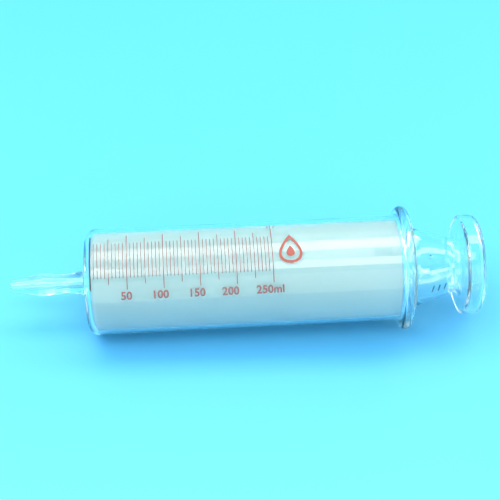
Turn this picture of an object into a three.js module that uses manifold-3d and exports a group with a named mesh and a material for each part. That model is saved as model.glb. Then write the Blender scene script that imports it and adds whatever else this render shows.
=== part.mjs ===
// A 250 ml all-glass oral syringe lying on its side, with its plunger fully home.
// Millimetres, +Z up. +X runs along the syringe's axis from the nozzle to the knob.
// The origin is on the table, under the middle of the syringe's overall length.
//
// Each turned piece is drawn as a half section: points are (station, radius), where the
// station is measured along the axis from the zero line of the printed scale.

import * as THREE from 'three';
import { mergeVertices } from 'three/addons/utils/BufferGeometryUtils.js';
import Module from 'manifold-3d';

// ---------------------------------------------------------------- driving dimensions

const SIDES = 48;               // facets round every turned piece
const JOIN_GAP = 0.3;           // clearance between two sections that are fused in reality
const SLIDE_GAP = 0.08;         // radial running clearance of the ground piston

// barrel
const BARREL_R = 30.25;         // outside
const BARREL_WALL = 2.2;
const BORE_R = BARREL_R - BARREL_WALL;
const FRONT_FACE = -3.6;        // outside face of the barrel's closed front
const FRONT_WALL = 2.5;
const SHOULDER_R = 5.6;         // rounding of the barrel's front corner
const FLANGE_R = 35.7;
const FLANGE_THICK = 6;
const FLANGE_REAR = 180.7;
const FLANGE_FILLET = 1.2;      // where the flange meets the tube, in front

// nozzle, an olive-shaped cone for a catheter or a tube
const NOZZLE_TIP = -46.9;
const NOZZLE_TIP_R = 3.55;
const CONE_MIDDLE = [-38, 4.85];
const OLIVE = [-28, 6.45];      // the fullest place, over which a tube is pushed
const WAIST = [-15.5, 5.4];
const NOZZLE_ROOT_R = 7.1;
const NOZZLE_FILLET = 2.9;      // where the nozzle meets the front face
const NOZZLE_BORE_TIP_R = 1.6;
const NOZZLE_BORE_R = 2.9;

// plunger
const PISTON_R = BORE_R - SLIDE_GAP;
const PLUNGER_WALL = 2;
const PISTON_CORNER_R = 3;
const PISTON_FRONT_THICK = 4;
const PISTON_INNER_CORNER = 1;  // bevel inside the front's corner
const GROUND_END = 173.4;       // rear end of the ground surface
const NECK_REAR_R = 15.6;
const VENT_R = 1;               // breathing hole in the neck's wall
const VENT_STATION = 191;
const VENT_TILT = 30;           // degrees the vent is turned from straight up towards -Y
const KNOB_R = 28.8;
const KNOB_REAR = 221.3;
const KNOB_UNDERSIDE = 210.4;
const KNOB_FILLET = 3.6;        // where the neck meets the knob's underside
const KNOB_RIM_R = 3.9;         // rounding of the knob's rear edge
const KNOB_LIP_R = 1.6;         // rounding of the knob's front edge
const KNOB_WALL = 2.6;
const KNOB_INNER_CORNER = 1;    // bevel inside the knob's rim
const KNOB_END_THICK = 3;

// where one fused section ends and the next begins
const NOZZLE_ROOT = FRONT_FACE - NOZZLE_FILLET - JOIN_GAP;
const NECK_REAR = KNOB_UNDERSIDE - KNOB_FILLET - JOIN_GAP;

// placement
const MIDDLE = (NOZZLE_TIP + KNOB_REAR) / 2;
const FACET_SHIFT = Math.PI / SIDES;                   // turns a flat facet to the bottom
const AXIS_HEIGHT = FLANGE_R * Math.cos(FACET_SHIFT);  // the flange rests on a flat facet

// ------------------------------------------------------------------------- materials

function glass(name, color, roughness, opacity) {
  const material = new THREE.MeshStandardMaterial({ color, roughness, metalness: 0 });
  material.name = name;
  material.transparent = true;
  material.opacity = opacity;
  return material;
}

const clearGlass = () => glass('clear_glass', 0xd8f2f4, 0.03, 0.35);
const groundGlass = () => glass('ground_glass', 0xdde9ea, 0.6, 0.85);

// --------------------------------------------------------------------------- helpers

// Points of an arc in the half section. Angles are in degrees, 0 towards +X, 90 outwards.
function arc(station, radius, size, fromDeg, toDeg, steps) {
  const points = [];
  for (let i = 0; i <= steps; i += 1) {
    const angle = THREE.MathUtils.degToRad(fromDeg + ((toDeg - fromDeg) * i) / steps);
    points.push([station + size * Math.cos(angle), radius + size * Math.sin(angle)]);
  }
  return points;
}

// A smooth line through a few points of the half section.
function smooth(points, steps) {
  const curve = new THREE.SplineCurve(points.map(([s, r]) => new THREE.Vector2(s, r)));
  return curve.getPoints(steps).map((p) => [p.x, p.y]);
}

// Turns a half section about the axis. The outline runs from the front, over the outside
// to the rear, and back inside; a solid piece starts and ends on the axis.
function turn(outline, closed) {
  const points = outline.map(([station, radius]) => new THREE.Vector2(radius, station));
  if (closed) {
    points.push(points[0].clone());
  }
  const geometry = new THREE.LatheGeometry(points, SIDES, FACET_SHIFT);
  geometry.rotateZ(-Math.PI / 2);
  return geometry;
}

const turnRing = (outline) => turn(outline, true);
const turnSolid = (outline) => turn(outline, false);

function toManifold(wasm, geometry) {
  const bare = geometry.clone();
  bare.deleteAttribute('normal');
  bare.deleteAttribute('uv');
  const merged = mergeVertices(bare, 1e-4);
  const vertProperties = new Float32Array(merged.attributes.position.array);
  const triVerts = new Uint32Array(merged.index.array);
  return new wasm.Manifold(new wasm.Mesh({ numProp: 3, vertProperties, triVerts }));
}

function fromManifold(solid) {
  const mesh = solid.getMesh();
  const geometry = new THREE.BufferGeometry();
  geometry.setAttribute('position', new THREE.BufferAttribute(mesh.vertProperties, 3));
  geometry.setIndex(new THREE.BufferAttribute(mesh.triVerts, 1));
  geometry.computeVertexNormals();
  return geometry;
}

function piece(name, geometry, material) {
  const mesh = new THREE.Mesh(geometry, material);
  mesh.name = name;
  return mesh;
}

// ---------------------------------------------------------------------------- barrel

function nozzle() {
  const outside = smooth([
    [NOZZLE_TIP, NOZZLE_TIP_R],
    CONE_MIDDLE,
    OLIVE,
    WAIST,
    [NOZZLE_ROOT, NOZZLE_ROOT_R],
  ], 14);
  const bore = [
    [NOZZLE_ROOT, NOZZLE_BORE_R],
    [OLIVE[0], NOZZLE_BORE_R],
    [NOZZLE_TIP, NOZZLE_BORE_TIP_R],
  ];
  return piece('nozzle', turnRing([...outside, ...bore]), clearGlass());
}

function barrelShoulder() {
  const front = FRONT_FACE - NOZZLE_FILLET;
  const cornerStation = FRONT_FACE + SHOULDER_R;
  const insideCorner = SHOULDER_R - BARREL_WALL;
  const insideFace = FRONT_FACE + FRONT_WALL;
  const outline = [
    ...arc(front, NOZZLE_ROOT_R + NOZZLE_FILLET, NOZZLE_FILLET, 270, 360, 4),
    ...arc(cornerStation, BARREL_R - SHOULDER_R, SHOULDER_R, 180, 90, 5),
    ...arc(insideFace + insideCorner, BORE_R - insideCorner, insideCorner, 90, 180, 4),
    [insideFace, NOZZLE_BORE_R],
    [front, NOZZLE_BORE_R],
  ];
  return piece('barrel_shoulder', turnRing(outline), clearGlass());
}

function barrelTube() {
  const front = FRONT_FACE + SHOULDER_R + JOIN_GAP;
  const rear = FLANGE_REAR - FLANGE_THICK - FLANGE_FILLET - JOIN_GAP;
  const outline = [
    [front, BARREL_R],
    [rear, BARREL_R],
    [rear, BORE_R],
    [front, BORE_R],
  ];
  return piece('barrel_tube', turnRing(outline), clearGlass());
}

function barrelFlange() {
  const rim = FLANGE_THICK / 2;
  const frontFace = FLANGE_REAR - FLANGE_THICK;
  const outline = [
    ...arc(frontFace - FLANGE_FILLET, BARREL_R + FLANGE_FILLET, FLANGE_FILLET, 270, 360, 3),
    ...arc(FLANGE_REAR - rim, FLANGE_R - rim, rim, 180, 0, 8),
    [FLANGE_REAR, BORE_R],
    [frontFace - FLANGE_FILLET, BORE_R],
  ];
  return piece('barrel_flange', turnRing(outline), clearGlass());
}

// --------------------------------------------------------------------------- plunger

function pistonFront() {
  const rear = PISTON_FRONT_THICK;
  const outline = [
    [0, 0],
    ...arc(PISTON_CORNER_R, PISTON_R - PISTON_CORNER_R, PISTON_CORNER_R, 180, 90, 4),
    [rear, PISTON_R],
    [rear, PISTON_R - PLUNGER_WALL],
    [PISTON_CORNER_R, PISTON_R - PLUNGER_WALL - PISTON_INNER_CORNER],
    [PISTON_CORNER_R, 0],
  ];
  return piece('piston_front', turnSolid(outline), groundGlass());
}

function pistonSleeve() {
  const front = PISTON_FRONT_THICK + JOIN_GAP;
  const inside = PISTON_R - PLUNGER_WALL;
  const outline = [
    [front, PISTON_R],
    [GROUND_END, PISTON_R],
    [GROUND_END, inside],
    [front, inside],
  ];
  return piece('piston_sleeve', turnRing(outline), groundGlass());
}

// The neck's outside line: a round shoulder out of the piston, then a long taper.
const NECK_LINE = [
  [GROUND_END + JOIN_GAP, PISTON_R],
  [178, 26.3],
  [185.5, 22.3],
  [195.5, 19.6],
  [202.5, 17.5],
  [NECK_REAR, NECK_REAR_R],
];

function plungerNeck(wasm) {
  const outside = smooth(NECK_LINE, 12);
  const inside = outside.map(([station, radius]) => [station, radius - PLUNGER_WALL]).reverse();
  const wall = toManifold(wasm, turnRing([...outside, ...inside]));
  const vent = new THREE.CylinderGeometry(VENT_R, VENT_R, KNOB_R, 12);
  vent.translate(0, KNOB_R / 2, 0);
  vent.rotateX(Math.PI / 2 + THREE.MathUtils.degToRad(VENT_TILT));
  vent.translate(VENT_STATION, 0, 0);
  const pierced = wall.subtract(toManifold(wasm, vent));
  return piece('plunger_neck', fromManifold(pierced), clearGlass());
}

function plungerKnob() {
  const front = KNOB_UNDERSIDE - KNOB_FILLET;
  const rear = KNOB_REAR - KNOB_END_THICK - JOIN_GAP;
  const rimStation = KNOB_REAR - KNOB_RIM_R;
  const rearAngle = THREE.MathUtils.radToDeg(Math.acos((rear - rimStation) / KNOB_RIM_R));
  const insideFace = KNOB_UNDERSIDE + KNOB_WALL;
  const insideR = KNOB_R - KNOB_WALL;
  const outline = [
    ...arc(front, NECK_REAR_R + KNOB_FILLET, KNOB_FILLET, 270, 360, 5),
    ...arc(KNOB_UNDERSIDE + KNOB_LIP_R, KNOB_R - KNOB_LIP_R, KNOB_LIP_R, 180, 90, 4),
    ...arc(rimStation, KNOB_R - KNOB_RIM_R, KNOB_RIM_R, 90, rearAngle, 2),
    [rear, insideR],
    [insideFace + KNOB_INNER_CORNER, insideR],
    [insideFace, insideR - KNOB_INNER_CORNER],
    [insideFace, NECK_REAR_R + KNOB_FILLET],
    [front, NECK_REAR_R - PLUNGER_WALL],
  ];
  return piece('plunger_knob', turnRing(outline), clearGlass());
}

function knobEnd() {
  const front = KNOB_REAR - KNOB_END_THICK;
  const rimStation = KNOB_REAR - KNOB_RIM_R;
  const startAngle = THREE.MathUtils.radToDeg(Math.acos((front - rimStation) / KNOB_RIM_R));
  const outline = [
    [front, 0],
    ...arc(rimStation, KNOB_R - KNOB_RIM_R, KNOB_RIM_R, startAngle, 0, 4),
    [KNOB_REAR, 0],
  ];
  return piece('knob_end', turnSolid(outline), clearGlass());
}

// -------------------------------------------------------------------------- assembly

const wasm = await Module();
wasm.setup();

const barrel = new THREE.Group();
barrel.add(nozzle(), barrelShoulder(), barrelTube(), barrelFlange());

const plunger = new THREE.Group();
plunger.add(pistonFront(), pistonSleeve(), plungerNeck(wasm), plungerKnob(), knobEnd());

const syringe = new THREE.Group();
syringe.add(barrel, plunger);
syringe.position.set(-MIDDLE, 0, AXIS_HEIGHT);

export default syringe;
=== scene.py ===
"""A 250 ml all-glass oral syringe lying on a pale table, its plunger fully home.

The glass is turned from half sections round the syringe's axis: the barrel with its nozzle and
finger flange, and the hollow plunger with its ground piston, neck and knob. The enamel print is
laid out flat and wrapped onto the glass. Half sections are drawn in (station, radius), where a
station is a place along the axis.
"""

import logging
import math
from collections.abc import Iterable, Sequence
from dataclasses import dataclass
from enum import Enum

import bmesh
import bpy
from bmesh.types import BMesh, BMVert
from bpy.types import ID, Material, Node, NodeOutputs, NodeSocket, NodeTree, Object
from mathutils import Matrix, Vector


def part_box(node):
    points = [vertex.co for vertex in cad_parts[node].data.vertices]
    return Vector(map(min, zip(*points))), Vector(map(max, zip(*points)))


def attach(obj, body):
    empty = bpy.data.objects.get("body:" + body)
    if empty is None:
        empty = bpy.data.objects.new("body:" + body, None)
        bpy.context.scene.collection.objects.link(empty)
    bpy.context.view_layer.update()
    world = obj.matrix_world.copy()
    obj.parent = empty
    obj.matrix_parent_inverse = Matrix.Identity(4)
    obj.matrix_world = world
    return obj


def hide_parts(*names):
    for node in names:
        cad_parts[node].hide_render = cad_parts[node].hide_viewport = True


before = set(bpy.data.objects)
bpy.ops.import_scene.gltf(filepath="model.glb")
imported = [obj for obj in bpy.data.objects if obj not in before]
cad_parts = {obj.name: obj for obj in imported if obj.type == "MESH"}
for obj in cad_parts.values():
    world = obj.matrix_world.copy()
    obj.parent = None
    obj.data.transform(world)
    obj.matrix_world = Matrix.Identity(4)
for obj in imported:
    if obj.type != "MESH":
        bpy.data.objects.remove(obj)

LOG = logging.getLogger("oral_syringe")

MM = 0.001
SIDES = 192  # steps round a turned piece
CAD_SIDES = 48  # facets round the frame's turned nodes
SKIN = 0.02 * MM  # the thinnest gap left between two surfaces
LETTER_STEPS = 4  # steps along each bend of a letter
TOUCHING = 0.001 * MM  # points of an outline closer than this are one
WELD = 0.01 * MM  # points of a letter closer than this are one
CRISP_ANGLE = math.radians(50)  # edges that turn further than this stay crisp

Point = tuple[float, float]
Span = tuple[float, float]  # the lowest and the highest value
Triple = tuple[float, float, float]
Colour = Triple


class Body(Enum):
    """The two loose pieces of the syringe, by the frame's body names."""

    BARREL = "barrel"
    PLUNGER = "plunger"


class Slot(Enum):
    """The record's material slots."""

    CLEAR = "clear_glass"
    GROUND = "ground_glass"
    SCALE = "scale_print"
    SIGN = "sign_print"


# ---- frame measures


def front_of(node: str) -> float:
    """Return the station of a node's end towards the nozzle."""
    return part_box(node)[0].x


def rear_of(node: str) -> float:
    """Return the station of a node's end towards the knob."""
    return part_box(node)[1].x


def radius_of(node: str) -> float:
    """Return the outside radius of a turned node, from the distance between its facets."""
    low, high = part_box(node)
    return (high.z - low.z) / 2 / math.cos(math.pi / CAD_SIDES)


def axis_height() -> float:
    """Return how high the syringe's axis lies over the origin."""
    low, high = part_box("barrel_tube")
    return (low.z + high.z) / 2


# ---- half sections
# In an outline, the last number of each arc and line is its count of steps.


def arc(centre: Point, size: float, start: float, stop: float, steps: int) -> list[Point]:
    """Return points along an arc of the half section.

    Args:
        centre: The arc's centre.
        size: The arc's radius.
        start: First angle in degrees, 0 towards the knob and 90 away from the axis.
        stop: Last angle in degrees.
        steps: Number of steps between them.

    Returns:
        The points, both ends included.
    """
    angles = [math.radians(start + (stop - start) * i / steps) for i in range(steps + 1)]
    return [(centre[0] + size * math.cos(a), centre[1] + size * math.sin(a)) for a in angles]


def line(start: Point, stop: Point, steps: int) -> list[Point]:
    """Return evenly spaced points on a straight stretch, both ends included."""
    run, rise = stop[0] - start[0], stop[1] - start[1]
    return [(start[0] + run * i / steps, start[1] + rise * i / steps) for i in range(steps + 1)]


def smooth(knots: list[Point], steps: int) -> list[Point]:
    """Return a Catmull-Rom curve through the knots.

    Args:
        knots: The points that the curve passes through.
        steps: Number of steps between two knots.

    Returns:
        The points, both ends included.
    """
    padded = [knots[0], *knots, knots[-1]]
    points: list[Point] = []
    for near in zip(padded, padded[1:], padded[2:], padded[3:]):
        for i in range(steps):
            t = i / steps
            weights = (
                (-t + 2 * t**2 - t**3) / 2,
                (2 - 5 * t**2 + 3 * t**3) / 2,
                (t + 4 * t**2 - 3 * t**3) / 2,
                (-(t**2) + t**3) / 2,
            )
            station, radius = (sum(w * k[j] for w, k in zip(weights, near)) for j in (0, 1))
            points.append((station, radius))
    return [*points, knots[-1]]


def turned(name: str, outline: list[Point]) -> Object:
    """Turn a half section about the syringe's axis into one closed, smooth-shaded piece.

    Args:
        name: The piece's name.
        outline: The half section. One that starts and ends on the axis makes a solid, and any
            other is closed on itself and makes a ring.

    Returns:
        The piece.
    """
    following = [*outline[1:], outline[0]]
    points = [p for p, q in zip(outline, following) if math.dist(p, q) > TOUCHING]
    angles = [math.tau * i / SIDES for i in range(SIDES)]
    shape = bmesh.new()
    height = axis_height()
    rings: list[list[BMVert]] = []
    for station, radius in points:
        if radius < TOUCHING:
            rings.append([shape.verts.new((station, 0.0, height))])
            continue
        ring = ((station, -radius * math.sin(a), height + radius * math.cos(a)) for a in angles)
        rings.append([shape.verts.new(place) for place in ring])
    pairs = list(zip(rings, rings[1:]))
    if len(rings[0]) > 1:
        pairs.append((rings[-1], rings[0]))
    for a, b in pairs:
        for i in range(SIDES):
            j = (i + 1) % SIDES
            corners = [a[0]] if len(a) == 1 else [a[i], a[j]]
            corners += [b[0]] if len(b) == 1 else [b[j], b[i]]
            shape.faces.new(corners)
    bmesh.ops.recalc_face_normals(shape, faces=shape.faces)
    return object_from(name, shape, smooth_faces=True)


# ---- mesh helpers


def new_object(name: str, data: ID) -> Object:
    """Return a new object at the origin that holds the mesh or curve."""
    piece = bpy.data.objects.new(name, data)
    bpy.context.scene.collection.objects.link(piece)
    return piece


def object_from(name: str, shape: BMesh, smooth_faces: bool = False) -> Object:
    """Return an object made of a bmesh, which is freed."""
    for face in shape.faces:
        face.smooth = smooth_faces
    mesh = bpy.data.meshes.new(name)
    shape.to_mesh(mesh)
    shape.free()
    return new_object(name, mesh)


def settled(piece: Object) -> Object:
    """Replace a piece's mesh with the result of its modifiers, and take them off."""
    evaluated = piece.evaluated_get(bpy.context.evaluated_depsgraph_get())
    mesh = bpy.data.meshes.new_from_object(evaluated)
    mesh.name = piece.name
    piece.modifiers.clear()
    piece.data = mesh
    return piece


# ---- node helpers


class Nodes:
    """Adds and joins the nodes of one tree."""

    def __init__(self, tree: NodeTree) -> None:
        """Hold the tree."""
        self.tree = tree

    def add(self, kind: str, **settings: object) -> Node:
        """Add a node and set its properties.

        Args:
            kind: The node's type name.
            settings: The node's properties, by name.

        Returns:
            The node.
        """
        node = self.tree.nodes.new(kind)
        for name, value in settings.items():
            setattr(node, name, value)
        return node

    def put(self, socket: NodeSocket, value: object) -> None:
        """Link an output to a socket, or set the socket's value."""
        if isinstance(value, NodeSocket):
            self.tree.links.new(value, socket)
        else:
            socket.default_value = value

    def feed(self, node: Node, **values: object) -> Node:
        """Set or link a node's inputs by name, with _ for a space.

        Args:
            node: The node that is fed.
            values: A plain value, or an output socket of another node. A last _ is dropped.

        Returns:
            The same node.
        """
        for name, value in values.items():
            self.put(node.inputs[name.replace("_", " ").strip()], value)
        return node

    def math(self, operation: str, *values: object, kind: str = "ShaderNodeMath") -> NodeSocket:
        """Add a node that reckons with numbers, and return its output."""
        node = self.add(kind, operation=operation)
        for socket, value in zip(node.inputs, values):
            self.put(socket, value)
        return node.outputs[0]

    def vector_math(self, operation: str, *values: object) -> NodeSocket:
        """Add a node that reckons with vectors, and return its output."""
        return self.math(operation, *values, kind="ShaderNodeVectorMath")

    def scaled(self, vector: NodeSocket, factor: object) -> NodeSocket:
        """Scale a vector by a number."""
        node = self.add("ShaderNodeVectorMath", operation="SCALE")
        return self.feed(node, Vector=vector, Scale=factor).outputs[0]

    def vector(self, x: object, y: object, z: object) -> NodeSocket:
        """Combine three numbers to a vector."""
        return self.feed(self.add("ShaderNodeCombineXYZ"), X=x, Y=y, Z=z).outputs[0]

    def parts(self, vector: NodeSocket) -> NodeOutputs:
        """Return a vector's three numbers."""
        return self.feed(self.add("ShaderNodeSeparateXYZ"), Vector=vector).outputs

    def noise(self, scale: float, detail: float, stretch: Triple = (1.0, 1.0, 1.0)) -> NodeSocket:
        """Add noise on the object's coordinates, stretched along its axes."""
        place = self.add("ShaderNodeTexCoord").outputs["Object"]
        where = self.feed(self.add("ShaderNodeMapping"), Vector=place, Scale=stretch).outputs[0]
        node = self.add("ShaderNodeTexNoise")
        return self.feed(node, Vector=where, Scale=scale, Detail=detail).outputs["Fac"]

    def spread(self, factor: NodeSocket, low: float, high: float) -> NodeSocket:
        """Spread a 0 to 1 factor over a range."""
        node = self.add("ShaderNodeMapRange")
        return self.feed(node, Value=factor, To_Min=low, To_Max=high).outputs["Result"]

    def blend(self, factor: NodeSocket, low: Colour, high: Colour) -> NodeSocket:
        """Mix two colours by a factor."""
        node = self.add("ShaderNodeMix", data_type="RGBA")
        colour_sockets = [socket for socket in node.inputs if socket.type == "RGBA"]
        self.put(node.inputs[0], factor)
        for socket, colour in zip(colour_sockets, (low, high)):
            self.put(socket, (*colour, 1.0))
        return next(socket for socket in node.outputs if socket.type == "RGBA")

    def relief(self, height: NodeSocket, depth: float) -> NodeSocket:
        """Return the normal of a surface with a fine relief."""
        node = self.add("ShaderNodeBump")
        return self.feed(node, Height=height, Distance=depth, Strength=1.0).outputs["Normal"]

    def hand_out(self, geometry: NodeSocket, ink: NodeSocket) -> None:
        """End a tree of geometry: make its instances real, and give them their ink."""
        real = self.feed(self.add("GeometryNodeRealizeInstances"), Geometry=geometry).outputs[0]
        inked = self.feed(self.add("GeometryNodeSetMaterial"), Geometry=real, Material=ink)
        self.feed(self.add("NodeGroupOutput"), Geometry=inked.outputs[0])


# ---- finishes


def new_material(name: str) -> tuple[Material, Nodes, Node]:
    """Return a new material with one Principled shader, its nodes and the shader."""
    material = bpy.data.materials.new(name)
    material.use_nodes = True
    return material, Nodes(material.node_tree), material.node_tree.nodes["Principled BSDF"]


@dataclass(frozen=True)
class ClearGlass:
    """Fire-polished clear glass with the faint waviness of blown tube."""

    name: str = "clear_glass"
    bright: Colour = (0.985, 1.0, 1.0)
    tinted: Colour = (0.955, 0.99, 0.985)
    ior: float = 1.47
    polish: Span = (0.0, 0.03)
    wave_scale: float = 55.0
    wave_depth: float = 0.05 * MM
    drawn_out: Triple = (0.35, 1.0, 1.0)
    smear_scale: float = 90.0

    def build(self) -> Material:
        """Return the material."""
        material, nodes, shader = new_material(self.name)
        waves = nodes.noise(self.wave_scale, detail=2.0, stretch=self.drawn_out)
        smears = nodes.noise(self.smear_scale, detail=5.0)
        nodes.feed(
            shader,
            Base_Color=nodes.blend(waves, self.tinted, self.bright),
            Roughness=nodes.spread(smears, *self.polish),
            Normal=nodes.relief(waves, self.wave_depth),
            Transmission_Weight=1.0,
            IOR=self.ior,
        )
        return material


@dataclass(frozen=True)
class GroundGlass:
    """Glass ground with fine grit: milky, with faint rings from the grinding."""

    name: str = "ground_glass"
    pale: Colour = (0.92, 0.98, 0.94)
    dull: Colour = (0.87, 0.94, 0.90)
    ior: float = 1.47
    matt: Span = (0.55, 0.68)
    see_through: float = 0.46
    milkiness: float = 1.0
    milk_depth: float = 5.0 * MM
    milk_spread: Colour = (1.0, 1.0, 1.0)  # red, green and blue light go equally deep
    ring_scale: float = 420.0
    round_the_axis: Triple = (1.0, 0.04, 0.04)
    grit_scale: float = 2600.0
    grit_depth: float = 0.02 * MM
    cloud_scale: float = 24.0

    def build(self) -> Material:
        """Return the material."""
        material, nodes, shader = new_material(self.name)
        rings = nodes.noise(self.ring_scale, detail=4.0, stretch=self.round_the_axis)
        grit = nodes.noise(self.grit_scale, detail=3.0)
        clouds = nodes.noise(self.cloud_scale, detail=3.0)
        mottle = nodes.math("MULTIPLY", nodes.math("ADD", rings, clouds), 0.5)
        nodes.feed(
            shader,
            Base_Color=nodes.blend(mottle, self.dull, self.pale),
            Roughness=nodes.spread(grit, *self.matt),
            Normal=nodes.relief(nodes.math("ADD", rings, grit), self.grit_depth),
            Transmission_Weight=self.see_through,
            Subsurface_Weight=self.milkiness,
            Subsurface_Radius=self.milk_spread,
            Subsurface_Scale=self.milk_depth,
            IOR=self.ior,
        )
        return material


@dataclass(frozen=True)
class FiredInk:
    """Enamel fired onto the glass: thin, a little uneven, and slightly glossy."""

    name: str
    deep: Colour
    worn: Colour
    gloss: Span = (0.6, 0.8)
    patch_scale: float = 900.0
    patch_depth: float = 0.01 * MM

    def build(self) -> Material:
        """Return the material."""
        material, nodes, shader = new_material(self.name)
        patches = nodes.noise(self.patch_scale, detail=4.0)
        nodes.feed(
            shader,
            Base_Color=nodes.blend(patches, self.deep, self.worn),
            Roughness=nodes.spread(patches, *self.gloss),
            Normal=nodes.relief(patches, self.patch_depth),
        )
        return material


INKS = (
    FiredInk("scale_ink", deep=(0.28, 0.07, 0.07), worn=(0.36, 0.10, 0.09)),
    FiredInk("zero_ink", deep=(0.045, 0.012, 0.012), worn=(0.08, 0.02, 0.02)),
    FiredInk("sign_ink", deep=(0.34, 0.05, 0.035), worn=(0.42, 0.08, 0.06)),
    FiredInk("dark_ink", deep=(0.03, 0.03, 0.05), worn=(0.06, 0.06, 0.08)),
)


@dataclass(frozen=True)
class TableTop:
    """A plain, smooth, pale aqua table top."""

    name: str = "table_top"
    lit: Colour = (0.101, 0.40, 0.72)
    dull: Colour = (0.097, 0.387, 0.705)
    roughness: float = 0.45
    cloud_scale: float = 2.5

    def build(self) -> Material:
        """Return the material."""
        material, nodes, shader = new_material(self.name)
        clouds = nodes.noise(self.cloud_scale, detail=2.0)
        colour = nodes.blend(clouds, self.dull, self.lit)
        nodes.feed(shader, Base_Color=colour, Roughness=self.roughness)
        return material


# ---- barrel


@dataclass
class Barrel:
    """The glass barrel: nozzle, closed front, tube and finger flange in one piece."""

    wall: float = 2.2 * MM
    front_wall: float = 2.5 * MM
    corner: float = 5.6 * MM
    root_fillet: float = 2.9 * MM
    flange_fillet: float = 1.2 * MM
    flange_rim: float = 3.0 * MM
    mouth_edge: float = 0.8 * MM
    tip_edge: float = 0.4 * MM
    tip_radius: float = 3.55 * MM
    root_radius: float = 7.1 * MM
    tip_bore: float = 1.6 * MM
    bore: float = 1.9 * MM
    bore_end: float = 18.9 * MM  # how far behind the tip the bore starts to taper
    bore_fillet: float = 3.0 * MM
    nozzle_knots: tuple[Point, ...] = (
        (8.9 * MM, 4.85 * MM),
        (18.9 * MM, 6.45 * MM),
        (31.4 * MM, 5.4 * MM),
    )

    @property
    def face(self) -> float:
        """Station of the front face."""
        return front_of("barrel_shoulder") + self.root_fillet

    @property
    def radius(self) -> float:
        """Outside radius of the tube."""
        return radius_of("barrel_tube")

    def outside(self) -> list[Point]:
        """Return the outside line from the nozzle's tip to the flange's rear face."""
        tip = front_of("nozzle")
        rear = rear_of("barrel_flange")
        root = self.face - self.root_fillet
        tube_end = rear - 2 * self.flange_rim - self.flange_fillet
        nozzle = smooth(
            [
                (tip + self.tip_edge, self.tip_radius),
                *((tip + x, r) for x, r in self.nozzle_knots),
                (root, self.root_radius),
            ],
            10,
        )
        front_corner = (self.face + self.corner, self.radius - self.corner)
        rim_centre = (rear - self.flange_rim, self.flange_radius - self.flange_rim)
        edge = self.tip_edge
        return [
            *arc((tip + edge, self.tip_radius - edge), edge, 180, 90, 6),
            *nozzle,
            *arc((root, self.root_radius + self.root_fillet), self.root_fillet, 270, 360, 10),
            *arc(front_corner, self.corner, 180, 90, 18),
            *line((front_corner[0], self.radius), (tube_end, self.radius), 24),
            *arc((tube_end, self.radius + self.flange_fillet), self.flange_fillet, 270, 360, 8),
            *arc(rim_centre, self.flange_rim, 180, 0, 30),
        ]

    @property
    def flange_radius(self) -> float:
        """Outside radius of the flange."""
        return radius_of("barrel_flange")

    def inside(self) -> list[Point]:
        """Return the inside line from the flange's rear face back to the nozzle's tip."""
        tip = front_of("nozzle")
        rear = rear_of("barrel_flange")
        face = self.face + self.front_wall
        radius = self.radius - self.wall
        corner = self.corner - self.wall
        fillet = self.bore_fillet
        taper = tip + self.bore_end
        return [
            *arc((rear - self.mouth_edge, radius + self.mouth_edge), self.mouth_edge, 0, -90, 8),
            *line((rear - self.mouth_edge, radius), (face + corner, radius), 24),
            *arc((face + corner, radius - corner), corner, 90, 180, 12),
            *arc((face - fillet, self.bore + fillet), fillet, 0, -90, 10),
            *line((face - fillet, self.bore), (taper, self.bore), 6),
            *line((taper, self.bore), (tip + self.tip_edge, self.tip_bore), 6),
            *arc((tip + self.tip_edge, self.tip_bore + self.tip_edge), self.tip_edge, 270, 180, 6),
        ]

    def build(self, glass: Material) -> Object:
        """Blow the barrel.

        Args:
            glass: Its glass.

        Returns:
            The barrel, riding on its body.
        """
        piece = turned("barrel_glass", [*self.outside(), *self.inside()])
        piece.data.materials.append(glass)
        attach(piece, Body.BARREL.value)
        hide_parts("nozzle", "barrel_shoulder", "barrel_tube", "barrel_flange")
        return piece


# ---- plunger


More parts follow.
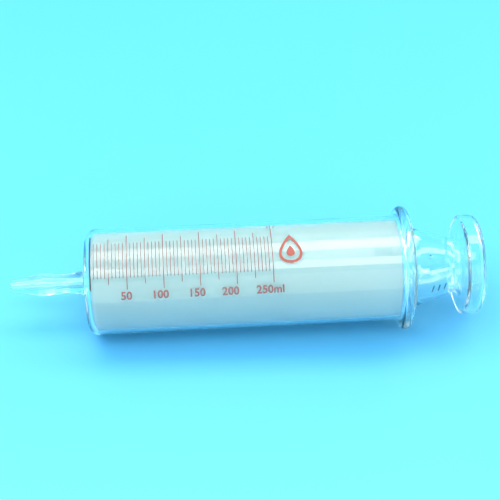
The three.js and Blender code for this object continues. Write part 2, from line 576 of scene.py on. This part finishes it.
@dataclass
class Plunger:
    """The hollow glass plunger: a ground piston, and a clear neck with a knob."""

    wall: float = 2.0 * MM
    front_corner: float = 3.0 * MM
    front_wall: float = 3.0 * MM
    inner_corner: float = 1.6 * MM
    knob_front_corner: float = 0.7 * MM
    knob_rear_corner: float = 1.9 * MM
    neck_rear_radius: float = 15.6 * MM
    knob_fillet: float = 3.6 * MM
    lip: float = 1.8 * MM
    rim: float = 3.9 * MM
    knob_wall: float = 1.9 * MM
    end_wall: float = 2.2 * MM
    vent_radius: float = 1.0 * MM
    vent_sides: int = 40
    vent_tilt: float = 30.0  # degrees from the top towards the front
    vent_station: float = 17.3 * MM  # behind the front of the neck
    neck_knots: tuple[Point, ...] = (
        (4.3 * MM, 26.3 * MM),
        (11.8 * MM, 22.3 * MM),
        (21.8 * MM, 19.6 * MM),
        (28.8 * MM, 17.5 * MM),
    )

    @property
    def radius(self) -> float:
        """Outside radius of the piston."""
        return radius_of("piston_sleeve")

    @property
    def underside(self) -> float:
        """Station of the knob's underside."""
        return front_of("plunger_knob") + self.knob_fillet

    def neck_line(self, inset: float) -> list[Point]:
        """Return the neck's line, from the piston's rear end to the knob.

        Args:
            inset: How far the line lies inside the neck's outside.

        Returns:
            The points.
        """
        start = front_of("plunger_neck")
        knots = [
            (start, self.radius),
            *((start + x, r) for x, r in self.neck_knots),
            (front_of("plunger_knob"), self.neck_rear_radius),
        ]
        return smooth([(x, r - inset) for x, r in knots], 8)

    def build_piston(self, ground: Material) -> Object:
        """Make the piston, a cup with a ground outside.

        Args:
            ground: Ground glass.

        Returns:
            The piston, riding on its body.
        """
        front = front_of("piston_front")
        rear = rear_of("piston_sleeve")
        corner = self.front_corner
        inner = self.inner_corner
        inside = self.radius - self.wall
        floor = front + self.front_wall
        outline = [
            *line((front, 0.0), (front, self.radius - corner), 8),
            *arc((front + corner, self.radius - corner), corner, 180, 90, 10),
            *line((front + corner, self.radius), (rear, self.radius), 24),
            *line((rear, inside), (floor + inner, inside), 24),
            *arc((floor + inner, inside - inner), inner, 90, 180, 8),
            *line((floor, inside - inner), (floor, 0.0), 8),
        ]
        piece = turned("piston_glass", outline)
        piece.data.materials.append(ground)
        piece.data.set_sharp_from_angle(angle=CRISP_ANGLE)
        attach(piece, Body.PLUNGER.value)
        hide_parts("piston_front", "piston_sleeve")
        return piece

    def build_knob(self, clear: Material) -> Object:
        """Make the neck and knob, one hollow piece with a vent.

        Args:
            clear: Polished glass.

        Returns:
            The piece, riding on its body.
        """
        front = rear_of("piston_sleeve") + SKIN
        rear = rear_of("knob_end")
        knob = radius_of("plunger_knob")
        inside = knob - self.knob_wall
        floor = self.underside + self.knob_wall
        end = rear - self.end_wall
        front_corner, rear_corner = self.knob_front_corner, self.knob_rear_corner
        lip, rim = self.lip, self.rim
        neck_end = (front_of("plunger_knob"), self.neck_rear_radius + self.knob_fillet)
        inner_fillet = self.knob_fillet + self.wall
        outline = [
            *line((rear, 0.0), (rear, knob - rim), 8),
            *arc((rear - rim, knob - rim), rim, 0, 90, 14),
            *arc((self.underside + lip, knob - lip), lip, 90, 180, 10),
            *arc(neck_end, self.knob_fillet, 360, 270, 12),
            *reversed(self.neck_line(0.0)),
            (front, self.radius),
            (front, self.radius - self.wall),
            *self.neck_line(self.wall),
            *arc(neck_end, inner_fillet, 270, 360, 12),
            *arc((floor + front_corner, inside - front_corner), front_corner, 180, 90, 14),
            *arc((end - rear_corner, inside - rear_corner), rear_corner, 90, 0, 6),
            *line((end, inside - rear_corner), (end, 0.0), 8),
        ]
        piece = turned("knob_glass", outline)
        self.pierce(piece)
        piece.data.materials.append(clear)
        piece.data.set_sharp_from_angle(angle=CRISP_ANGLE)
        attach(piece, Body.PLUNGER.value)
        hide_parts("plunger_neck", "plunger_knob", "knob_end")
        return piece

    def pierce(self, piece: Object) -> None:
        """Drill the small vent through the neck's wall.

        Args:
            piece: The neck and knob, without the vent.
        """
        reach = radius_of("plunger_knob")
        station = front_of("plunger_neck") + self.vent_station
        place = Matrix.Translation((station, 0.0, axis_height()))
        lean = Matrix.Rotation(math.radians(self.vent_tilt), 4, "X")
        shape = bmesh.new()
        bmesh.ops.create_cone(
            shape,
            cap_ends=True,
            segments=self.vent_sides,
            radius1=self.vent_radius,
            radius2=self.vent_radius,
            depth=reach,
            matrix=place @ lean @ Matrix.Translation((0.0, 0.0, reach / 2)),
        )
        drill = object_from("vent_drill", shape)
        cut = piece.modifiers.new("vent", "BOOLEAN")
        cut.operation = "DIFFERENCE"
        cut.solver = "EXACT"
        cut.object = drill
        settled(piece)
        bpy.data.objects.remove(drill)


# ---- print


class PrintTree:
    """A tree of geometry nodes with named inputs, which makes or moves a print."""

    name: str
    kinds: dict[str, str]  # each input's name, and the kind of its socket

    def __init__(self) -> None:
        """Build the tree."""
        self.tree = bpy.data.node_groups.new(self.name, "GeometryNodeTree")
        sockets = self.tree.interface
        self.inputs: dict[str, str] = {}
        for name, kind in {"Geometry": "Geometry", **self.kinds, "Ink": "Material"}.items():
            socket = sockets.new_socket(name, in_out="INPUT", socket_type=f"NodeSocket{kind}")
            self.inputs[name] = socket.identifier
        sockets.new_socket("Geometry", in_out="OUTPUT", socket_type="NodeSocketGeometry")
        nodes = Nodes(self.tree)
        self.fill(nodes, nodes.add("NodeGroupInput").outputs)

    def fill(self, nodes: Nodes, given: NodeOutputs) -> None:
        """Add the nodes between the tree's inputs and its output."""
        raise NotImplementedError

    def attach(self, piece: Object, **values: object) -> None:
        """Put the tree on a piece as a modifier.

        Args:
            piece: The piece.
            values: The tree's inputs by name, with _ for a space.
        """
        modifier = piece.modifiers.new(self.name, "NODES")
        modifier.node_group = self.tree
        for name, value in values.items():
            modifier[self.inputs[name.replace("_", " ")]] = value


class Wrap(PrintTree):
    """Lays a flat print onto the glass.

    The flat print's X is its station. Its Y runs round the glass, over the top from front to back.
    """

    name = "wrap_on_glass"
    kinds = {"Glass": "Object", "Axis Height": "Float", "Radius": "Float", "Lift": "Float"}

    def fill(self, nodes: Nodes, given: NodeOutputs) -> None:
        """Drop each point of the print onto the glass along its radius."""
        flat = nodes.parts(nodes.add("GeometryNodeInputPosition").outputs[0])
        angle = nodes.math("DIVIDE", flat["Y"], given["Radius"])
        sine, cosine = nodes.math("SINE", angle), nodes.math("COSINE", angle)
        outwards = nodes.vector(0.0, sine, cosine)
        axis = nodes.vector(flat["X"], 0.0, given["Axis Height"])
        far = nodes.scaled(outwards, nodes.math("MULTIPLY", given["Radius"], 2.0))
        glass = nodes.feed(nodes.add("GeometryNodeObjectInfo"), Object=given["Glass"])
        ray = nodes.feed(
            nodes.add("GeometryNodeRaycast"),
            Target_Geometry=glass.outputs["Geometry"],
            Source_Position=nodes.vector_math("ADD", axis, far),
            Ray_Direction=nodes.scaled(outwards, -1.0),
            Ray_Length=1.0,
        )
        lift = nodes.scaled(outwards, given["Lift"])
        landed = nodes.vector_math("ADD", ray.outputs["Hit Position"], lift)
        placed = nodes.feed(
            nodes.add("GeometryNodeSetPosition"), Geometry=given["Geometry"], Position=landed
        )
        nodes.hand_out(placed.outputs[0], given["Ink"])

    def apply(self, piece: Object, glass: Object, radius: float, ink: Material) -> Object:
        """Lay a flat print onto the glass and give the ink its thickness.

        Args:
            piece: The flat print.
            glass: The piece of glass that it is fired onto.
            radius: The glass's radius, which turns the print's Y to an angle.
            ink: The print's material.

        Returns:
            The print, with a plain mesh.
        """
        height = axis_height()
        self.attach(piece, Glass=glass, Axis_Height=height, Radius=radius, Lift=SKIN, Ink=ink)
        thick = piece.modifiers.new("thickness", "SOLIDIFY")
        thick.thickness = 2 * SKIN
        thick.offset = 1.0  # outwards
        return settled(piece)


class ScaleLines(PrintTree):
    """Rules the flat lines behind the zero line, each fifth and tenth longer."""

    name = "scale_lines"
    kinds = {
        "Start": "Vector",
        "Count": "Int",
        "Pitch": "Float",
        "Line Width": "Float",
        "Long Width": "Float",
        "Short": "Float",
        "Middle": "Float",
        "Long": "Float",
        "Tail": "Float",
    }
    cuts: int = 49  # points along a line, enough for it to bend round the glass
    middle_each: int = 5
    long_each: int = 10

    def fill(self, nodes: Nodes, given: NodeOutputs) -> None:
        """Rule a line at each step, and the last line's tail."""
        points = nodes.feed(
            nodes.add("GeometryNodeMeshLine"),
            Count=given["Count"],
            Start_Location=given["Start"],
            Offset=nodes.vector(given["Pitch"], 0.0, 0.0),
        )
        index = nodes.math("ADD", nodes.add("GeometryNodeInputIndex").outputs[0], 1.0)
        height = self.pick(nodes, index, self.middle_each, given["Short"], given["Middle"])
        height = self.pick(nodes, index, self.long_each, height, given["Long"])
        width = self.pick(nodes, index, self.long_each, given["Line Width"], given["Long Width"])
        lines = nodes.feed(
            nodes.add("GeometryNodeInstanceOnPoints"),
            Points=points.outputs[0],
            Instance=self.rule(nodes, 1.0, 1.0),
            Scale=nodes.vector(width, height, 1.0),
        )
        last = nodes.math("SUBTRACT", given["Count"], 1.0)
        along = nodes.math("MULTIPLY", last, given["Pitch"])
        above = nodes.math("DIVIDE", given["Tail"], 2.0)
        tail = nodes.feed(
            nodes.add("GeometryNodeTransform"),
            Geometry=self.rule(nodes, given["Line Width"], given["Tail"]),
            Translation=nodes.vector_math("ADD", given["Start"], nodes.vector(along, above, 0.0)),
        )
        joined = nodes.add("GeometryNodeJoinGeometry")
        nodes.put(joined.inputs[0], lines.outputs[0])
        nodes.put(joined.inputs[0], tail.outputs[0])
        nodes.hand_out(joined.outputs[0], given["Ink"])

    @staticmethod
    def pick(
        nodes: Nodes, index: NodeSocket, every: int, usual: NodeSocket, special: NodeSocket
    ) -> NodeSocket:
        """Return one value on every so many lines, and another on the rest."""
        is_special = nodes.math("COMPARE", nodes.math("MODULO", index, every), 0.0, 0.5)
        switch = nodes.add("GeometryNodeSwitch", input_type="FLOAT")
        return nodes.feed(switch, Switch=is_special, False_=usual, True_=special).outputs[0]

    def rule(self, nodes: Nodes, width: object, height: object) -> NodeSocket:
        """Return one flat line, cut across so that it can bend round the glass."""
        grid = nodes.add("GeometryNodeMeshGrid")
        nodes.feed(grid, Size_X=width, Size_Y=height, Vertices_X=2, Vertices_Y=self.cuts)
        return grid.outputs[0]


def add_face(shape: BMesh, corners: Iterable[Sequence[float]]) -> None:
    """Add one flat face on new corners."""
    shape.faces.new([shape.verts.new(corner) for corner in corners])


def cut_across(shape: BMesh, spacing: float = 0.5 * MM) -> None:
    """Cut a flat print across at even steps of Y, so that it can bend round the glass."""
    low, high = (f(v.co.y for v in shape.verts) for f in (min, max))
    for i in range(1, math.ceil((high - low) / spacing)):
        everything = [*shape.verts, *shape.edges, *shape.faces]
        place = (0.0, low + i * spacing, 0.0)
        bmesh.ops.bisect_plane(shape, geom=everything, plane_co=place, plane_no=(0.0, 1.0, 0.0))


def lettering(text: str, cap: float, squeeze: float, weight: float) -> BMesh:
    """Set a word flat, its lower left corner at the origin.

    Args:
        text: The word.
        cap: Height of a figure.
        squeeze: The letters' width, as a share of the typeface's own.
        weight: How far the strokes are thickened, as a share of the type size.

    Returns:
        The flat mesh.
    """
    curve = bpy.data.curves.new("lettering", "FONT")
    curve.body = text
    curve.offset = weight
    curve.resolution_u = LETTER_STEPS
    holder = new_object("lettering", curve)
    evaluated = holder.evaluated_get(bpy.context.evaluated_depsgraph_get())
    mesh = bpy.data.meshes.new_from_object(evaluated)
    shape = bmesh.new()
    shape.from_mesh(mesh)
    bpy.data.objects.remove(holder)
    bpy.data.curves.remove(curve)
    bpy.data.meshes.remove(mesh)
    bmesh.ops.remove_doubles(shape, verts=shape.verts, dist=WELD)
    left = min(v.co.x for v in shape.verts)
    bottom, top = (f(v.co.y for v in shape.verts) for f in (min, max))
    size = cap / (top - bottom)
    for vertex in shape.verts:
        vertex.co.x = (vertex.co.x - left) * size * squeeze
        vertex.co.y = (vertex.co.y - bottom) * size
    return shape


@dataclass(frozen=True)
class Numeral:
    """One numeral of the scale, and how far it ends behind its line."""

    text: str
    millilitres: float
    overhang: float


def down_front(turn: float, radius: float) -> float:
    """Return the flat print's Y for a place on the glass.

    Args:
        turn: Degrees from the top of the glass towards the front.
        radius: The glass's radius.

    Returns:
        The place's Y.
    """
    return -math.radians(turn) * radius


@dataclass
class Scale:
    """The printed scale: a zero line, fifty steps of five millilitres, and numerals."""

    start: float = 0.3 * MM  # from the piston's front end to the zero line
    pitch: float = 2.02 * MM
    count: int = 50
    per_step: float = 5.0
    line_width: float = 0.4 * MM
    long_width: float = 0.5 * MM
    zero_width: float = 0.8 * MM
    centre: float = 21.4  # angles are degrees from the top towards the front
    short: float = 40.6
    middle: float = 54.0
    long: float = 65.4
    tail: float = 43.4  # how far the last line runs on over the top
    foot: float = 65.5
    cap: float = 4.8 * MM
    squeeze: float = 0.98
    weight: float = 0.022
    numerals: tuple[Numeral, ...] = (
        Numeral("50", 50, 2.4 * MM),
        Numeral("100", 100, 2.4 * MM),
        Numeral("150", 150, 2.4 * MM),
        Numeral("200", 200, 0.8 * MM),
        Numeral("250ml", 250, 5.6 * MM),
    )

    @property
    def zero(self) -> float:
        """Station of the zero line."""
        return front_of("piston_front") + self.start

    def rule(self, radius: float, ink: Material) -> Object:
        """Rule the flat lines.

        Args:
            radius: The barrel's outside radius.
            ink: The scale's ink.

        Returns:
            The lines, still with their modifier.
        """
        piece = new_object("scale_lines", bpy.data.meshes.new("scale_lines"))
        per_degree = math.radians(1.0) * radius
        ScaleLines().attach(
            piece,
            Start=(self.zero + self.pitch, down_front(self.centre, radius), 0.0),
            Count=self.count,
            Pitch=self.pitch,
            Line_Width=self.line_width,
            Long_Width=self.long_width,
            Short=self.short * per_degree,
            Middle=self.middle * per_degree,
            Long=self.long * per_degree,
            Tail=self.tail * per_degree,
            Ink=ink,
        )
        return piece

    def set_numerals(self, radius: float) -> Object:
        """Set the flat numerals below their lines.

        Args:
            radius: The barrel's outside radius.

        Returns:
            The numerals.
        """
        flat = bmesh.new()
        for numeral in self.numerals:
            word = lettering(numeral.text, self.cap, self.squeeze, self.weight)
            right = max(v.co.x for v in word.verts)
            at_line = self.zero + self.pitch * numeral.millilitres / self.per_step
            left = at_line + numeral.overhang - right
            place = Vector((left, down_front(self.foot, radius), 0.0))
            bmesh.ops.translate(word, verts=word.verts, vec=place)
            mesh = bpy.data.meshes.new("word")
            word.to_mesh(mesh)
            word.free()
            flat.from_mesh(mesh)
            bpy.data.meshes.remove(mesh)
        cut_across(flat)
        return object_from("scale_numerals", flat)

    def rule_zero(self, radius: float) -> Object:
        """Rule the flat, thick zero line.

        Args:
            radius: The barrel's outside radius.

        Returns:
            The line.
        """
        flat = bmesh.new()
        half_width = self.zero_width / 2
        half_turn = self.long / 2
        low, high = (down_front(self.centre + turn, radius) for turn in (half_turn, -half_turn))
        corners = ((-half_width, low), (half_width, low), (half_width, high), (-half_width, high))
        add_face(flat, [(self.zero + x, y, 0.0) for x, y in corners])
        cut_across(flat)
        return object_from("zero_line", flat)

    def build(
        self,
        barrel: Object,
        wrap: Wrap,
        ink: Material,
        zero_ink: Material,
    ) -> list[Object]:
        """Print the scale on the barrel.

        Args:
            barrel: The barrel's glass.
            wrap: Lays flat prints onto glass.
            ink: The scale's ink.
            zero_ink: The zero line's ink, which lies thicker and darker.

        Returns:
            The zero line, the other lines and the numerals, riding on the barrel's body.
        """
        radius = radius_of("barrel_tube")
        pieces = [self.rule_zero(radius), self.rule(radius, ink), self.set_numerals(radius)]
        for piece, coat in zip(pieces, (zero_ink, ink, ink)):
            wrap.apply(piece, barrel, radius, coat)
            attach(piece, Body.BARREL.value)
        return pieces


@dataclass
class Sign:
    """A plain drop-shaped sign behind the scale: an outlined drop with a small one inside."""

    station: float = 111.4 * MM  # behind the piston's front end
    turn: float = 17.0  # degrees from the top towards the front
    half_width: float = 7.6 * MM
    half_height: float = 9.2 * MM
    stroke: float = 1.7 * MM
    inner_share: float = 0.36
    inner_sink: float = 1.9 * MM
    outline_sink: float = 0.35  # how far the stroke's inner line sinks, as a share of the stroke
    belly: float = 1.2  # how far the drop's sides swell
    point: float = 1.4  # how slim the drop's top is
    steps: int = 72

    def drop(self, share: float, sink: float) -> list[Vector]:
        """Return the outline of a drop, pointed at the top.

        Args:
            share: Its size, as a share of the sign's.
            sink: How far it sits below the sign's middle.

        Returns:
            The points.
        """
        points = []
        for i in range(self.steps):
            t = math.tau * (i + 0.5) / self.steps
            swell = self.belly * math.sin(t) * math.sin(t / 2) ** self.point
            x = -self.half_width * share * swell
            y = self.half_height * share * math.cos(t) - sink
            points.append(Vector((x, y, 0.0)))
        return points

    def build(self, barrel: Object, wrap: Wrap, ink: Material) -> Object:
        """Print the sign on the barrel.

        Args:
            barrel: The barrel's glass.
            wrap: Lays flat prints onto glass.
            ink: The sign's ink.

        Returns:
            The sign, riding on the barrel's body.
        """
        radius = radius_of("barrel_tube")
        station = front_of("piston_front") + self.station
        place = Vector((station, down_front(self.turn, radius), 0.0))
        flat = bmesh.new()
        outer = [flat.verts.new(p + place) for p in self.drop(1.0, 0.0)]
        share, sink = 1.0 - self.stroke / self.half_width, self.outline_sink * self.stroke
        inner = [flat.verts.new(p + place) for p in self.drop(share, sink)]
        for i in range(self.steps):
            j = (i + 1) % self.steps
            flat.faces.new((outer[i], outer[j], inner[j], inner[i]))
        add_face(flat, [p + place for p in self.drop(self.inner_share, self.inner_sink)])
        bmesh.ops.recalc_face_normals(flat, faces=flat.faces)
        for face in flat.faces:
            if face.normal.z < 0:
                face.normal_flip()
        cut_across(flat)
        piece = wrap.apply(object_from("sign", flat), barrel, radius, ink)
        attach(piece, Body.BARREL.value)
        return piece


@dataclass
class Tally:
    """A maker's tally: a few short strokes in a row."""

    name: str
    body: Body
    station: float  # of the row's middle, behind the piston's front end
    turn: float  # degrees from the top towards the front
    strokes: int
    length: float
    width: float
    slant: float
    spacing: float = 3.6 * MM

    def build(self, glass: Object, wrap: Wrap, ink: Material) -> Object:
        """Print the tally.

        Args:
            glass: The glass that it is fired onto.
            wrap: Lays flat prints onto glass.
            ink: Its ink.

        Returns:
            The tally, riding on its body.
        """
        radius = radius_of("barrel_tube")
        middle_y = down_front(self.turn, radius)
        first = front_of("piston_front") + self.station - self.spacing * (self.strokes - 1) / 2
        flat = bmesh.new()
        half, lean, reach = self.width / 2, self.slant / 2, self.length / 2
        stroke = (
            (-half - lean, -reach),
            (half - lean, -reach),
            (half + lean, reach),
            (lean - half, reach),
        )
        for i in range(self.strokes):
            middle_x = first + i * self.spacing
            add_face(flat, [(middle_x + x, middle_y + y, 0.0) for x, y in stroke])
        cut_across(flat)
        piece = wrap.apply(object_from(self.name, flat), glass, radius, ink)
        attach(piece, self.body.value)
        return piece


BARREL_TALLY = Tally(
    "barrel_tally", Body.BARREL, station=101.5 * MM, turn=-16.0, strokes=2, length=2.4 * MM,
    width=0.5 * MM, slant=0.8 * MM,
)
NECK_TALLY = Tally(
    "neck_tally", Body.PLUNGER, station=196.0 * MM, turn=85.0, strokes=3, length=6.6 * MM,
    width=0.6 * MM, slant=0.9 * MM,
)


# ---- studio


@dataclass
class Table:
    """The table top, which touches the barrel's front corner and the flange's rim."""

    half_size: float = 1.4  # metres

    def build(self, barrel: Barrel, top: Material) -> Object:
        """Lay the table under the syringe.

        Args:
            barrel: The barrel's sizes.
            top: The table's material.

        Returns:
            The table.
        """
        edge = barrel.flange_rim
        front = Vector((barrel.face + barrel.corner, barrel.corner - barrel.radius))
        rim = Vector((rear_of("barrel_flange") - edge, edge - barrel.flange_radius))
        across = rim - front
        drop = math.atan2(-across.y, across.x)
        tilt = drop - math.asin((barrel.corner - edge) / across.length)
        down = Vector((-math.sin(tilt), -math.cos(tilt)))
        touch = rim + down * (edge + SKIN)
        along = Vector((math.cos(tilt), 0.0, -math.sin(tilt)))
        centre = Vector((touch.x, 0.0, axis_height() + touch.y))
        sideways = Vector((0.0, 1.0, 0.0))
        shape = bmesh.new()
        corners = ((-1, -1), (1, -1), (1, 1), (-1, 1))
        add_face(shape, [centre + (along * i + sideways * j) * self.half_size for i, j in corners])
        piece = object_from("table_top", shape)
        piece.data.materials.append(top)
        return piece


WARM: Colour = (1.0, 0.95, 0.86)
AMBER: Colour = (1.0, 0.55, 0.25)  # a warm card that colours the glass's right-hand edges


@dataclass(frozen=True)
class Softbox:
    """One soft lamp, a rectangle that faces the syringe.

    Its place is an angle round the syringe's axis, from level on the viewer's side over the top,
    and its distance from the axis. Its station is from the syringe's middle.
    """

    name: str
    round_angle: float  # degrees
    distance: float  # this and the next three in metres
    station: float
    length: float
    breadth: float
    watts: float
    colour: Colour

    def build(self) -> Object:
        """Hang the lamp."""
        lamp = bpy.data.lights.new(self.name, "AREA")
        lamp.shape = "RECTANGLE"
        lamp.size = self.length
        lamp.size_y = self.breadth
        lamp.energy = self.watts
        lamp.color = self.colour
        piece = new_object(self.name, lamp)
        angle = math.radians(self.round_angle)
        piece.location = (
            self.station,
            -self.distance * math.cos(angle),
            self.distance * math.sin(angle) + axis_height(),
        )
        aim = Vector((0.0, 0.0, axis_height())) - piece.location
        if abs(self.station) < self.length / 2:
            aim.x = 0.0
        piece.rotation_euler = aim.to_track_quat("-Z", "Y").to_euler()
        return piece


@dataclass(frozen=True)
class Studio:
    """The lamps, the light from all round, and the camera."""

    fill: Colour = (0.22, 0.84, 0.98)
    fill_strength: float = 1.3
    bounces: int = 24  # enough for light that is caught in the glass
    lens: float = 86.4  # focal length in millimetres
    eye: Triple = (-29.8 * MM, -488.8 * MM, 524.4 * MM)
    aim: Triple = (2.4 * MM, 0.0, 55.4 * MM)
    roll: float = -0.12  # degrees
    lamps: tuple[Softbox, ...] = (
        Softbox("softbox_back", 104.0, 1.2, 1.0, 3.6, 0.46, 23.5, WARM),
        Softbox("softbox_far", 124.0, 1.25, 0.4, 2.2, 0.60, 1.8, WARM),
        Softbox("softbox_middle", 82.0, 1.2, -0.1, 0.7, 0.40, 1.2, WARM),
        Softbox("softbox_left", 77.0, 1.2, -0.62, 1.0, 0.74, 8.5, WARM),
        Softbox("softbox_front", 63.0, 1.2, -0.2, 1.2, 0.34, 4.6, WARM),
        Softbox("softbox_side", 28.0, 1.2, 1.5, 1.4, 0.30, 5.0, WARM),
        Softbox("card_front", 16.0, 1.3, -0.4, 2.4, 1.3, 8.5, WARM),
        Softbox("card_right", 160.0, 1.0, 1.2, 0.8, 0.6, 6.0, AMBER),
    )

    def light(self) -> None:
        """Hang the lamps and set the light from all round."""
        for lamp in self.lamps:
            lamp.build()
        world = bpy.data.worlds.new("studio")
        world.use_nodes = True
        surround = world.node_tree.nodes["Background"]
        surround.inputs["Color"].default_value = (*self.fill, 1.0)
        surround.inputs["Strength"].default_value = self.fill_strength
        scene = bpy.context.scene
        scene.world = world
        scene.view_settings.view_transform = "Standard"
        scene.cycles.max_bounces = self.bounces
        scene.cycles.glossy_bounces = self.bounces
        scene.cycles.transmission_bounces = self.bounces

    def place_camera(self) -> None:
        """Set up the camera."""
        camera = new_object("camera", bpy.data.cameras.new("camera"))
        camera.data.lens = self.lens
        camera.location = self.eye
        look = (Vector(self.aim) - Vector(self.eye)).to_track_quat("-Z", "Y").to_matrix()
        roll = Matrix.Rotation(math.radians(self.roll), 3, "Z")
        camera.rotation_euler = (look @ roll).to_euler()
        bpy.context.scene.camera = camera


# ---- assembly


def report(*pieces: Object) -> None:
    """Log each piece's name and size."""
    for piece in pieces:
        size = " x ".join(f"{side / MM:.1f}" for side in piece.dimensions)
        LOG.info("%s: %s mm, %d faces", piece.name, size, len(piece.data.polygons))


def main() -> None:
    """Build the syringe and the studio round it."""
    logging.basicConfig(level=logging.INFO, format="%(name)s: %(message)s")
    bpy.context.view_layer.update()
    clear = ClearGlass().build()
    ground = GroundGlass().build()
    scale_ink, zero_ink, sign_ink, dark_ink = (ink.build() for ink in INKS)

    barrel = Barrel()
    barrel_glass = barrel.build(clear)
    plunger = Plunger()
    piston_glass = plunger.build_piston(ground)
    knob_glass = plunger.build_knob(clear)
    report(barrel_glass, piston_glass, knob_glass)

    wrap = Wrap()
    report(*Scale().build(barrel_glass, wrap, scale_ink, zero_ink))
    report(Sign().build(barrel_glass, wrap, sign_ink))
    report(BARREL_TALLY.build(barrel_glass, wrap, scale_ink))
    report(NECK_TALLY.build(knob_glass, wrap, dark_ink))

    report(Table().build(barrel, TableTop().build()))
    studio = Studio()
    studio.light()
    studio.place_camera()


if __name__ == "__main__":
    main()
